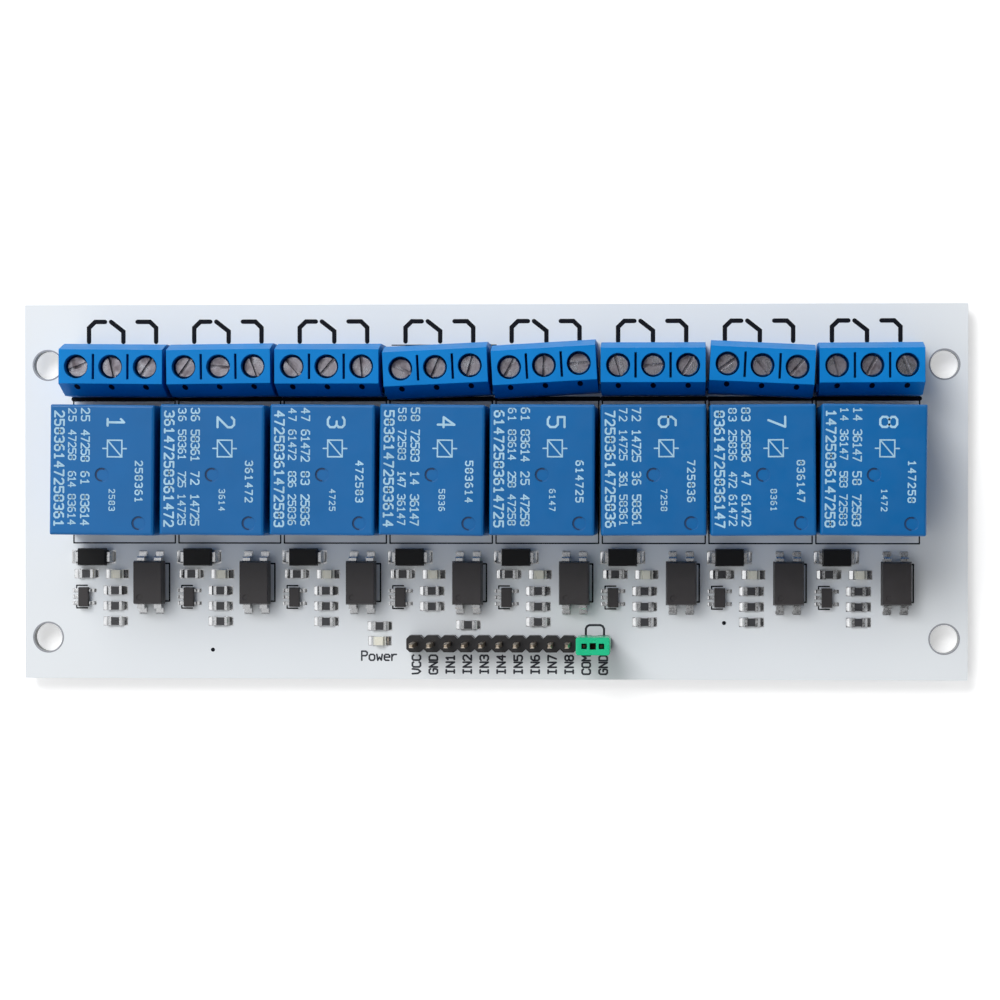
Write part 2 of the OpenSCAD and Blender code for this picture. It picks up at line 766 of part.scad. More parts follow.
module optocoupler_leads() {
    lead_w = 1.1;
    color("silver") at_optocouplers()
        for (end = [0, 180], s = [-1, 1])
            rotate([0, 0, end + 90]) translate([0, s * 1.27, 0])
                gull_lead(opto_l / 2, opto_span / 2, opto_parting() - lead_t / 2, lead_w);
}

module at_diodes() {
    for (ch = [1:channel_count]) at_channel(ch) translate(diode_at) children();
}

module diode_bodies() {
    color("black") at_diodes()
        moulded_body(diode_l, diode_w, lead_t, diode_h, diode_h * 0.5, 0.14);
}

// The lead leaves the parting line, drops down the end and folds in under the body.
module diode_leads() {
    lead_w = 1.45;
    outer = diode_l / 2 + 0.45;
    mid = diode_h * 0.5;
    inner = diode_l / 2 - 1;
    color("silver") at_diodes()
        for (end = [0, 180]) rotate([0, 0, end]) along_y(lead_w)
            polygon([
                [diode_l / 2, mid - lead_t / 2], [outer - lead_t, mid - lead_t / 2],
                [outer - lead_t, lead_t], [inner, lead_t], [inner, 0], [outer, 0],
                [outer, mid + lead_t / 2], [diode_l / 2, mid + lead_t / 2]
            ]);
}

module at_drivers() {
    for (ch = [1:channel_count]) at_channel(ch) translate(driver_at) children();
}

function driver_parting() = driver_h * 0.55;

module driver_bodies() {
    color("dimgray") at_drivers()
        moulded_body(driver_w, driver_l, 0.05, driver_h, driver_parting(), 0.08);
}

// Three leads on the left, two on the right.
module driver_leads() {
    step = 0.95;
    color("silver") at_drivers() {
        for (k = [-1, 0, 1])
            rotate([0, 0, 180]) translate([0, k * step, 0]) driver_lead();
        for (k = [-1, 1])
            translate([0, k * step, 0]) driver_lead();
    }
}

module driver_lead() {
    lead_w = 0.4;
    thin = 0.15;
    x0 = driver_w / 2;
    knee = x0 + 0.12;
    toe = x0 + 0.7;
    mid = driver_parting();
    along_y(lead_w)
        polygon([
            [x0, mid - thin / 2], [knee, mid - thin / 2], [knee + 0.1, 0], [toe, 0],
            [toe, thin], [knee + 0.23, thin], [knee + 0.08, mid + thin / 2], [x0, mid + thin / 2]
        ]);
}

module resistor_chips() {
    color("black") at_places(chip_places)
        translate([0, 0, cap_t]) block(chip_l - 2 * cap_t, chip_w - 2 * cap_t, chip_h - 2 * cap_t);
}

// A metal cap wraps each end of a chip.
module resistor_caps() {
    color("lightgray") at_places(chip_places) difference() {
        block(chip_l, chip_w, chip_h);
        translate([0, 0, -1]) block(chip_l - 2 * cap_reach, chip_w + 1, chip_h + 2);
        translate([0, 0, cap_t]) block(chip_l - 2 * cap_t, chip_w - 2 * cap_t, chip_h - 2 * cap_t);
    }
}

module led_bases() {
    color("seagreen") at_places(led_places) block(chip_l, chip_w, led_h * 0.4);
}

module led_lenses() {
    lens_l = chip_l - 0.7;
    color("cornsilk") at_places(led_places)
        translate([0, 0, led_h * 0.4]) intersection() {
            block(lens_l, chip_w, led_h * 0.6);
            along_y(chip_w) polygon([
                [-lens_l / 2, 0], [lens_l / 2, 0],
                [lens_l / 2 - 0.12, led_h * 0.6], [-lens_l / 2 + 0.12, led_h * 0.6]
            ]);
        }
}

// ---- Pin header and jumper ----

// One cell of the strip: a square with its corners cut.
module strip_cell() {
    cut = 0.5;
    w = header_pitch / 2;
    l = strip_h / 2;
    polygon([
        [-w, -l + cut], [-w + cut, -l], [w - cut, -l], [w, -l + cut],
        [w, l - cut], [w - cut, l], [-w + cut, l], [-w, l - cut]
    ]);
}

module header_strip() {
    color("black") translate([0, header_y, board_t]) difference() {
        linear_extrude(strip_h)
            for (i = [1:header_count]) translate([header_pin_x(i), 0]) strip_cell();
        for (i = [1:header_count]) translate([header_pin_x(i), 0, -1])
            block(header_pin + 0.02, header_pin + 0.02, strip_h + 2);
    }
}

module header_pins() {
    low = -lead_tail;
    high = board_t + strip_h + header_pin_reach;
    color("gold") for (i = [1:header_count])
        translate([header_pin_x(i), header_y, 0]) intersection() {
            along_y(header_pin) pin_outline(low, high);
            along_x(header_pin) pin_outline(low, high);
        }
}

// A square pin with a blunt point at both ends.
module pin_outline(low, high) {
    w = header_pin / 2;
    tip = w * 0.55;
    point = 0.45;
    polygon([
        [-tip, low], [tip, low], [w, low + point], [w, high - point],
        [tip, high], [-tip, high], [-w, high - point], [-w, low + point]
    ]);
}

jumper_x = (header_pin_x(header_count - 1) + header_pin_x(header_count)) / 2;
clip_gap = header_pin / 2 + 0.02;
clip_l = header_pitch + header_pin + 0.5;
clip_bottom = 1.2;
clip_top = jumper_h - 1;

module at_jumper() {
    translate([jumper_x, header_y, board_t + strip_h]) children();
}

module jumper_housing() {
    corner = 0.35;
    pocket_l = clip_l + 2 * fit_gap;
    pocket_w = 2 * (clip_gap + clip_t + fit_gap);
    hole = header_pin + 0.16;
    window = [0.9, 0.95];
    color("mediumseagreen") at_jumper() difference() {
        intersection() {
            linear_extrude(jumper_h) rounded_rectangle(jumper_l, jumper_w, corner);
            along_y(jumper_w + 1) drafted_outline(jumper_l, jumper_h, 0, corner / 2);
        }
        translate([0, 0, -1]) block(pocket_l, pocket_w, clip_top + fit_gap + 1);
        for (s = [-1, 1]) translate([s * header_pitch / 2, 0, 0]) block(hole, hole, jumper_h + 1);
        translate([0, 0, clip_top - 1]) block(window[0], window[1], jumper_h);
    }
}

// Two side plates grip both pins and are joined by a bridge between them.
module jumper_clip() {
    bridge_l = header_pitch - header_pin - 0.4;
    color("goldenrod") at_jumper() difference() {
        translate([0, 0, clip_bottom])
            block(clip_l, 2 * (clip_gap + clip_t), clip_top - clip_bottom);
        translate([0, 0, clip_bottom - 1])
            block(clip_l + 1, 2 * clip_gap, clip_top - clip_bottom + 1 - clip_t);
        for (s = [-1, 1])
            translate([s * (bridge_l / 2 + clip_l / 2), 0, clip_top - clip_t - eps])
                block(clip_l, 2 * clip_gap, 1);
    }
}

// ---- Solder ----

// A joint under the board, with a hollow flank, wrapped round whatever pin stands in it.
module solder_joint(drill_d, pin_d) {
    height = lead_tail * 0.65;
    foot_r = drill_d / 2 + 0.45;
    tip_r = pin_d / 2 + 0.12;
    rotate_extrude() polygon([
        [0, 0], [foot_r, 0], [foot_r * 0.55 + tip_r * 0.45, -height * 0.3],
        [foot_r * 0.15 + tip_r * 0.85, -height * 0.7], [tip_r, -height], [0, -height]
    ]);
}

module solder_joints() {
    color("silver") difference() {
        union() {
            for (ch = [1:channel_count]) {
                at_terminal(ch)
                    for (pole = [1:poles]) translate([pole_x(pole), 0, -board_t])
                        solder_joint(terminal_drill_d, norm([terminal_pin_w, terminal_pin_t]));
                at_relay(ch)
                    for (p = relay_pin_places()) translate([p[0], p[1], -board_t])
                        solder_joint(relay_drill_d(p), p[2]);
            }
            for (i = [1:header_count]) translate([header_pin_x(i), header_y, 0])
                solder_joint(header_drill_d, header_pin * sqrt(2));
        }
        terminal_frames();
        relay_pins();
        relay_no_blades();
        relay_nc_blades();
        header_pins();
    }
}

// ---- Nodes ----

circuit_board();
relay_case(1);  // relay_case_1
relay_case(2);  // relay_case_2
relay_case(3);  // relay_case_3
relay_case(4);  // relay_case_4
relay_case(5);  // relay_case_5
relay_case(6);  // relay_case_6
relay_case(7);  // relay_case_7
relay_case(8);  // relay_case_8
armature(1);  // armature_1
armature(2);  // armature_2
armature(3);  // armature_3
armature(4);  // armature_4
armature(5);  // armature_5
armature(6);  // armature_6
armature(7);  // armature_7
armature(8);  // armature_8
contact_spring(1);  // contact_spring_1
contact_spring(2);  // contact_spring_2
contact_spring(3);  // contact_spring_3
contact_spring(4);  // contact_spring_4
contact_spring(5);  // contact_spring_5
contact_spring(6);  // contact_spring_6
contact_spring(7);  // contact_spring_7
contact_spring(8);  // contact_spring_8
terminal_housing(1);  // terminal_housing_1
terminal_housing(2);  // terminal_housing_2
terminal_housing(3);  // terminal_housing_3
terminal_housing(4);  // terminal_housing_4
terminal_housing(5);  // terminal_housing_5
terminal_housing(6);  // terminal_housing_6
terminal_housing(7);  // terminal_housing_7
terminal_housing(8);  // terminal_housing_8
relay_bases();
relay_yokes();
relay_cores();
relay_bobbins();
relay_windings();
relay_no_blades();
relay_nc_blades();
relay_pins();
terminal_screws();
terminal_frames();
wire_guards();
optocoupler_bodies();
optocoupler_leads();
diode_bodies();
diode_leads();
driver_bodies();
driver_leads();
led_lenses();
led_bases();
resistor_chips();
resistor_caps();
header_strip();
header_pins();
jumper_housing();
jumper_clip();
solder_joints();
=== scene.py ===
"""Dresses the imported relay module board: materials, legends, pads, light and camera."""
import json
import math

import bmesh
import bpy
from mathutils import Matrix, Vector

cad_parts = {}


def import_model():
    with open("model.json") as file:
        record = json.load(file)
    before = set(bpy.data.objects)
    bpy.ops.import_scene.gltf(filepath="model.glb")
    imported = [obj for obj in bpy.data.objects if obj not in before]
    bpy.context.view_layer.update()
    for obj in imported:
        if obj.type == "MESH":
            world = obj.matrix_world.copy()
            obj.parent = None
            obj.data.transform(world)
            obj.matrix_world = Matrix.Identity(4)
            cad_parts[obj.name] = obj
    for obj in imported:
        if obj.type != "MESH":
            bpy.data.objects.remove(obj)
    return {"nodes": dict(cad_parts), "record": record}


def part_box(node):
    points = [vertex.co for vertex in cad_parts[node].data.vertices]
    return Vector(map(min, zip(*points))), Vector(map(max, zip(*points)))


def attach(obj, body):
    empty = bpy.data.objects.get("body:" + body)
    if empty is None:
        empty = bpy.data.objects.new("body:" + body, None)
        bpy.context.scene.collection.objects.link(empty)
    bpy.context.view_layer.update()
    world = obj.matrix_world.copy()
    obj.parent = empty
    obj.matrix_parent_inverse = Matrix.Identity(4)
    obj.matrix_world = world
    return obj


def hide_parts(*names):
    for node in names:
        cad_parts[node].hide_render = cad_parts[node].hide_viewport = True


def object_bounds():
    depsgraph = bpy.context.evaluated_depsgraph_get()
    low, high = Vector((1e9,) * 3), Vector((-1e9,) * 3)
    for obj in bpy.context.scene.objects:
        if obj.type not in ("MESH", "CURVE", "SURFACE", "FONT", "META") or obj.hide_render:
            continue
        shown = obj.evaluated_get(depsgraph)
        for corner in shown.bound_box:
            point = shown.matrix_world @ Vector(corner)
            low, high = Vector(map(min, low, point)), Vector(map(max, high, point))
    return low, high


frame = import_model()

MM = 0.001
scene = bpy.context.scene
nodes = frame["nodes"]
cad_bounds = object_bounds()

CHANNELS = range(1, 9)
CHANNEL_PITCH = 15.875
ROW_X = 0.1
# How far each relay was soldered askew, in degrees; the same as in the CAD.
RELAY_SKEW = [-0.6, -0.5, -0.4, -0.7, -0.3, 0.2, 0.4, -0.6]
# How far each screw is turned, in degrees, for the three poles of each channel.
SLOT_ANGLES = [
    [20, 103, 55],
    [54, -5, 110],
    [131, 49, 96],
    [155, 67, 73],
    [60, 88, 5],
    [107, 5, 58],
    [35, 129, 48],
    [105, 62, 113],
]


def box_mm(node):
    low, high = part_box(node)
    return low / MM, high / MM


def channel_x(channel):
    return ROW_X + (channel - 4.5) * CHANNEL_PITCH


BOARD_LOW, BOARD_HIGH = box_mm("circuit_board")
BOARD_TOP = BOARD_HIGH.z
BOARD_UNDER = BOARD_LOW.z


def solids(node):
    """The (lowest, highest) corners in mm of each separate solid in a CAD node."""
    bm = bmesh.new()
    bm.from_mesh(nodes[node].data)
    bmesh.ops.remove_doubles(bm, verts=bm.verts, dist=2e-6)
    unseen = set(bm.verts)
    found = []
    while unseen:
        first = unseen.pop()
        island, edge = [first], [first]
        while edge:
            for link in edge.pop().link_edges:
                for v in link.verts:
                    if v in unseen:
                        unseen.remove(v)
                        island.append(v)
                        edge.append(v)
        low = Vector([min(v.co[k] for v in island) for k in range(3)]) / MM
        high = Vector([max(v.co[k] for v in island) for k in range(3)]) / MM
        found.append((low, high))
    bm.free()
    return sorted(found, key=lambda b: (round(b[0].x, 2), round(b[0].y, 2)))


def middle(box):
    return (box[0] + box[1]) / 2


# ---- Materials ----


def srgb(red, green, blue):
    """A display colour, 0 to 255, as the linear colour that Blender takes."""

    def linear(value):
        value /= 255
        return value / 12.92 if value <= 0.04045 else ((value + 0.055) / 1.055) ** 2.4

    return (linear(red), linear(green), linear(blue), 1.0)


def shade(colour, factor):
    return tuple(min(1.0, c * factor) for c in colour[:3]) + (1.0,)


class Surface:
    """A Principled material with room for a few procedural layers."""

    def __init__(self, name, rough=0.5, metal=0.0, **sockets):
        self.material = bpy.data.materials.new(name)
        self.material.use_nodes = True
        self.tree = self.material.node_tree
        self.shader = self.tree.nodes["Principled BSDF"]
        self.shader.inputs["Roughness"].default_value = rough
        self.shader.inputs["Metallic"].default_value = metal
        for socket, value in sockets.items():
            self.shader.inputs[socket.replace("_", " ")].default_value = value
        self.place = self.node("ShaderNodeTexCoord").outputs["Object"]

    def node(self, kind, **settings):
        made = self.tree.nodes.new(kind)
        for key, value in settings.items():
            setattr(made, key, value)
        return made

    def link(self, a, b):
        self.tree.links.new(a, b)

    def noise(self, scale, detail=3.0, stretch=None, rough=0.55):
        """A noise value, 0 to 1; scale is in cycles for each millimetre."""
        place = self.place
        if stretch:
            mapping = self.node("ShaderNodeMapping")
            mapping.inputs["Scale"].default_value = stretch
            self.link(place, mapping.inputs["Vector"])
            place = mapping.outputs["Vector"]
        noise = self.node("ShaderNodeTexNoise")
        noise.inputs["Scale"].default_value = scale / MM
        noise.inputs["Detail"].default_value = detail
        noise.inputs["Roughness"].default_value = rough
        self.link(place, noise.inputs["Vector"])
        return noise.outputs["Fac"]

    def ramp(self, value, stops):
        """A colour from a value; stops is a list of (position, colour)."""
        ramp = self.node("ShaderNodeValToRGB")
        elements = ramp.color_ramp.elements
        while len(elements) < len(stops):
            elements.new(0.5)
        for element, (position, colour) in zip(elements, stops):
            element.position = position
            element.color = colour
        self.link(value, ramp.inputs["Fac"])
        return ramp.outputs["Color"]

    def span(self, value, low, high, to_low=0.0, to_high=1.0):
        """Maps a value from low..high to to_low..to_high, with soft ends."""
        node = self.node("ShaderNodeMapRange", interpolation_type="SMOOTHSTEP")
        for socket, number in zip(
            ("From Min", "From Max", "To Min", "To Max"), (low, high, to_low, to_high)
        ):
            node.inputs[socket].default_value = number
        self.link(value, node.inputs["Value"])
        return node.outputs["Result"]

    def mix(self, factor, a, b):
        node = self.node("ShaderNodeMix", data_type="RGBA")
        self.link(factor, node.inputs["Factor"])
        for socket, colour in zip(("A", "B"), (a, b)):
            target = [s for s in node.inputs if s.name == socket and s.type == "RGBA"][0]
            if isinstance(colour, tuple):
                target.default_value = colour
            else:
                self.link(colour, target)
        return [s for s in node.outputs if s.type == "RGBA"][0]

    def facing_up(self):
        """How far the surface faces up or down: 1 on a flat top, 0 on a wall."""
        split = self.node("ShaderNodeSeparateXYZ")
        self.link(self.node("ShaderNodeNewGeometry").outputs["Normal"], split.inputs[0])
        size = self.node("ShaderNodeMath", operation="ABSOLUTE")
        self.link(split.outputs["Z"], size.inputs[0])
        return size.outputs[0]

    def colour(self, value):
        if isinstance(value, tuple):
            self.shader.inputs["Base Color"].default_value = value
        else:
            self.link(value, self.shader.inputs["Base Color"])
        return self

    def roughness(self, value):
        self.link(value, self.shader.inputs["Roughness"])
        return self

    def bump(self, value, strength, depth, edge=0.0):
        """Bump of a depth in mm; edge rounds the look of sharp edges, in mm."""
        bump = self.node("ShaderNodeBump")
        bump.inputs["Strength"].default_value = strength
        bump.inputs["Distance"].default_value = depth * MM
        self.link(value, bump.inputs["Height"])
        if edge:
            bevel = self.node("ShaderNodeBevel", samples=4)
            bevel.inputs["Radius"].default_value = edge * MM
            self.link(bevel.outputs["Normal"], bump.inputs["Normal"])
        self.link(bump.outputs["Normal"], self.shader.inputs["Normal"])
        return self


def plastic(name, colour, rough=0.4, grain=2.0, vary=0.06, depth=0.01, edge=0.08, **sockets):
    """Moulded plastic: slight tone changes and a fine moulded skin."""
    surface = Surface(name, rough, **sockets)
    tone = surface.noise(grain * 0.12, 4)
    surface.colour(
        surface.ramp(tone, [(0.3, shade(colour, 1 - vary)), (0.7, shade(colour, 1 + vary))])
    )
    skin = surface.noise(grain * 3, 3)
    surface.roughness(surface.span(tone, 0.3, 0.7, rough - 0.04, rough + 0.06))
    surface.bump(skin, 0.25, depth, edge)
    return surface.material


def metal(name, colour, rough=0.3, grain=6.0, vary=0.15, stretch=None, depth=0.01, edge=0.04):
    """Bare or plated metal with fine lines or speckle."""
    surface = Surface(name, rough, 1.0)
    speckle = surface.noise(grain, 4, stretch)
    surface.colour(
        surface.ramp(speckle, [(0.3, shade(colour, 1 - vary)), (0.7, shade(colour, 1 + vary))])
    )
    surface.roughness(surface.span(speckle, 0.3, 0.7, rough - 0.08, rough + 0.12))
    surface.bump(speckle, 0.3, depth, edge)
    return surface.material


def board_surface():
    """White solder mask on top and below, with the laminate showing at the cut edges."""
    surface = Surface("board_mask", 0.42)
    mask = srgb(230, 234, 237)
    tone = surface.noise(0.03, 3)
    fine = surface.noise(1.4, 5)
    face = surface.ramp(tone, [(0.3, shade(mask, 0.985)), (0.7, shade(mask, 1.01))])
    weave = surface.noise(2.2, 3, (1.0, 1.0, 4.0))
    cut = surface.ramp(weave, [(0.35, srgb(120, 122, 120)), (0.65, srgb(158, 160, 156))])
    edge = surface.span(surface.facing_up(), 0.4, 0.8)
    surface.colour(surface.mix(edge, cut, face))
    surface.bump(fine, 0.12, 0.01, 0.05)
    return surface.material


def relay_surface():
    """Glossy blue case, a little paler where it was handled."""
    surface = Surface("relay_case_blue", 0.36, Specular_IOR_Level=0.36)
    tone = surface.noise(0.09, 4)
    blue = srgb(2, 97, 161)
    surface.colour(surface.ramp(tone, [(0.3, shade(blue, 0.94)), (0.7, shade(blue, 1.06))]))
    skin = surface.noise(5.0, 3)
    surface.roughness(surface.span(surface.noise(0.5, 3), 0.3, 0.7, 0.31, 0.42))
    surface.bump(skin, 0.2, 0.008, 0.12)
    return surface.material


def screw_surface():
    """Plated screw heads with turned rings, stained here and there."""
    surface = Surface("screw_plated", 0.34, 1.0)
    stain = surface.noise(0.6, 4)
    colour = surface.ramp(
        stain, [(0.3, srgb(182, 184, 192)), (0.5, srgb(146, 142, 148)), (0.7, srgb(104, 96, 100))]
    )
    surface.colour(colour)
    lines = surface.noise(7.0, 3)
    surface.roughness(surface.span(stain, 0.35, 0.65, 0.2, 0.5))
    surface.bump(lines, 0.5, 0.04, 0.08)
    return surface.material


def pin_surface():
    """Tinned header pins, with painted shade on the tips of the two that carry the jumper."""
    surface = Surface("header_pin_tinned", 0.3, 1.0)
    speckle = surface.noise(4.0, 4)
    bare = surface.ramp(speckle, [(0.3, srgb(188, 172, 150)), (0.7, srgb(214, 200, 182))])
    split = surface.node("ShaderNodeSeparateXYZ")
    surface.link(surface.place, split.inputs[0])
    low = box_mm("jumper_housing")[0].x * MM
    tip = box_mm("header_pins")[1].z * MM
    # Painted shade: the pin tips inside the jumper are darkened to a dull brown.
    jumper_shade = surface.node("ShaderNodeMath", operation="MULTIPLY")
    surface.link(surface.span(split.outputs["X"], low - 0.0001, low), jumper_shade.inputs[0])
    surface.link(surface.span(split.outputs["Z"], tip - 0.0009, tip - 0.0006), jumper_shade.inputs[1])
    surface.colour(surface.mix(jumper_shade.outputs[0], bare, srgb(76, 68, 50)))
    surface.bump(speckle, 0.3, 0.01, 0.04)
    return surface.material


MATERIALS = {
    "board_white": board_surface(),
    "relay_blue": relay_surface(),
    "base_plastic": plastic("relay_base_dark", srgb(18, 40, 70), 0.5),
    "terminal_blue": plastic(
        "terminal_blue_plastic", srgb(0, 124, 200), 0.42, 1.6, 0.06, 0.01, 0.12,
        Specular_IOR_Level=0.14,
    ),
    "steel": metal("yoke_steel", srgb(190, 191, 194), 0.35, 4.0, 0.08, (1, 1, 6)),
    "core_iron": metal("core_iron_turned", srgb(176, 176, 178), 0.4),
    "bobbin_plastic": plastic("bobbin_ivory", srgb(226, 222, 204), 0.5),
    "winding_copper": metal("winding_enamel", srgb(176, 92, 44), 0.3, 1.0, 0.3, (0.2, 0.2, 14)),
    "spring_bronze": metal("spring_bronze_strip", srgb(206, 164, 104), 0.28),
    "contact_brass": metal("contact_brass_strip", srgb(212, 184, 120), 0.32),
    "tinned_pins": metal("tinned_leads", srgb(206, 207, 208), 0.26, 3.0, 0.12),
    "screw_steel": screw_surface(),
    "frame_brass": metal("frame_tinned", srgb(202, 196, 178), 0.34, 3.0, 0.12),
    "guard_steel": metal("guard_spring_sheet", srgb(190, 190, 190), 0.3),
    "chip_grey": plastic("chip_moulded", srgb(46, 42, 43), 0.5, 4.0, 0.16, 0.015, 0.1),
    "chip_black": plastic(
        "diode_moulded", srgb(10, 10, 11), 0.45, 4.0, 0.12, 0.015, 0.1, Specular_IOR_Level=0.25
    ),
    "lens_cream": plastic("led_lens_resin", srgb(236, 233, 216), 0.25, 3.0, 0.04, 0.01, 0.05),
    "led_green": plastic("led_laminate", srgb(214, 214, 204), 0.45, 4.0, 0.1, 0.01, 0.02),
    "resistor_black": plastic("resistor_glaze", srgb(58, 58, 61), 0.3, 6.0, 0.12, 0.01, 0.03),
    "header_black": plastic("header_moulded", srgb(24, 23, 25), 0.38, 3.0, 0.12, 0.01, 0.08),
    "pin_metal": pin_surface(),
    "jumper_green": plastic(
        "jumper_translucent", srgb(18, 204, 146), 0.26, 2.0, 0.05, 0.01, 0.1,
        Transmission_Weight=0.15, Subsurface_Weight=0.2, Subsurface_Scale=0.001,
    ),
    # Painted shade: the jumper clip is darkened to stand for the shade inside the jumper's windows.
    "clip_brass": metal("clip_brass_painted_shade", srgb(40, 30, 22), 0.5),
    "solder": metal("solder_smooth", srgb(206, 208, 210), 0.22, 1.5, 0.12, None, 0.02),
}
LEGEND = plastic("legend_ink", srgb(16, 18, 26), 0.6, 3.0, 0.1, 0.004, 0, Specular_IOR_Level=0.1)
LEGEND_SOFT = plastic("legend_ink_thin", srgb(58, 60, 66), 0.6, 3.0, 0.15, 0.004, 0, Specular_IOR_Level=0.1)
LEGEND_PALE = plastic("legend_ink_pale", srgb(150, 152, 158), 0.6, 3.0, 0.12, 0.004, 0)
RELAY_INK = plastic("relay_ink_pale", srgb(160, 198, 220), 0.5, 2.0, 0.12, 0.004, 0)
# Painted shade: the dark blue of the arcs that stand for the shaded walls of the relay recesses.
RECESS_SHADE = plastic("relay_recess_blue", srgb(0, 48, 92), 0.5, 2.0, 0.1, 0.004, 0)
# Painted shade: the near-black of the flat discs that stand for the small holes' mouths.
HOLE_SHADE = plastic("probe_hole_painted_shade", srgb(0, 12, 34), 0.8, 3.0, 0.1, 0.004, 0, Specular_IOR_Level=0.05)
PAD = metal("pad_tinned", srgb(200, 201, 202), 0.3, 2.0, 0.15, None, 0.02, 0)
FILLET = metal("solder_fillet", srgb(214, 215, 216), 0.2, 1.2, 0.15, None, 0.02, 0)

slot_of = {part["node"]: part["material_slot"] for part in frame["record"]["subparts"]}
for name, obj in nodes.items():
    if not obj.material_slots:
        obj.data.materials.append(None)
    for holder in obj.material_slots:
        holder.material = MATERIALS[slot_of[name]]


# ---- Meshes in millimetres ----


class Piece:
    """Collects closed solids in one mesh; lengths are in mm, with an optional placing."""

    def __init__(self, at=None):
        self.bm = bmesh.new()
        self.at = at or Matrix.Identity(4)
        self.ribbons = 0

    def corner(self, point):
        return self.bm.verts.new((self.at @ Vector(point)) * MM)

    def loft(self, sections, closed=False):
        """Joins sections of equally many corners to a closed solid."""
        rings = [[self.corner(p) for p in section] for section in sections]
        pairs = list(zip(rings, rings[1:] + rings[:1]))
        for a, b in pairs if closed else pairs[:-1]:
            for k in range(len(a)):
                n = (k + 1) % len(a)
                self.bm.faces.new((a[k], a[n], b[n], b[k]))
        if not closed:
            self.bm.faces.new(rings[0][::-1])
            self.bm.faces.new(rings[-1])

    def ribbon(self, points, width, low, high, closed=False):
        """A flat stroke along points, with round ends unless it is closed."""
        points = [Vector(p) for p in points]
        # Strokes that cross lie at slightly different heights.
        self.ribbons += 1
        high += self.ribbons % 8 * 0.001
        half = width / 2
        count = len(points)
        across = []
        for i, p in enumerate(points):
            before = p - points[i - 1] if closed or i else points[1] - p
            after = points[(i + 1) % count] - p if closed or i < count - 1 else before
            before, after = before.normalized(), after.normalized()
            along = (before + after).normalized()
            side = Vector((-along.y, along.x)) * half / max(0.5, along.dot(after))
            across.append((p + side, p - side))
        if not closed:
            for end, inner, first in ((points[0], points[1], True), (points[-1], points[-2], False)):
                out = (end - inner).normalized()
                side = Vector((-out.y, out.x)) * (-half if first else half)
                for angle in (30, 60, 80):
                    tip = end + out * half * math.sin(math.radians(angle))
                    lean = side * math.cos(math.radians(angle))
                    pair = (tip + lean, tip - lean)
                    across.insert(0, pair) if first else across.append(pair)
        self.loft(
            [
                [(*a, high), (*b, high), (*b, low), (*a, low)]
                for a, b in across
            ],
            closed,
        )

    def stroke(self, points, width, low, high):
        """A stroke that turns sharp corners with a round join."""
        run = [Vector(points[0])]
        for i in range(1, len(points)):
            run.append(Vector(points[i]))
            if i == len(points) - 1:
                break
            before = (run[-1] - run[-2]).normalized()
            after = (Vector(points[i + 1]) - run[-1]).normalized()
            if before.dot(after) < 0.6:
                self.ribbon(run, width, low, high)
                run = [run[-1]]
        self.ribbon(run, width, low, high)

    def slab(self, low, high):
        """A plain box between two corners."""
        self.loft(
            [
                [(x, low[1], high[2]), (x, high[1], high[2]), (x, high[1], low[2]), (x, low[1], low[2])]
                for x in (low[0], high[0])
            ]
        )

    def ring(self, centre, inner, outer, low, high, count=40):
        points = [
            (
                centre[0] + math.cos(2 * math.pi * k / count) * (inner + outer) / 2,
                centre[1] + math.sin(2 * math.pi * k / count) * (inner + outer) / 2,
            )
            for k in range(count)
        ]
        self.ribbon(points, outer - inner, low, high, True)

    def finish(self, name, material, slot, body="board"):
        bmesh.ops.recalc_face_normals(self.bm, faces=self.bm.faces)
        mesh = bpy.data.meshes.new(name)
        self.bm.to_mesh(mesh)
        self.bm.free()
        mesh.materials.append(material)
        piece = bpy.data.objects.new(name, mesh)
        scene.collection.objects.link(piece)
        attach(piece, body)
        return piece


# ---- Legends ----

INK_LOW = -0.004
INK_HIGH = 0.016

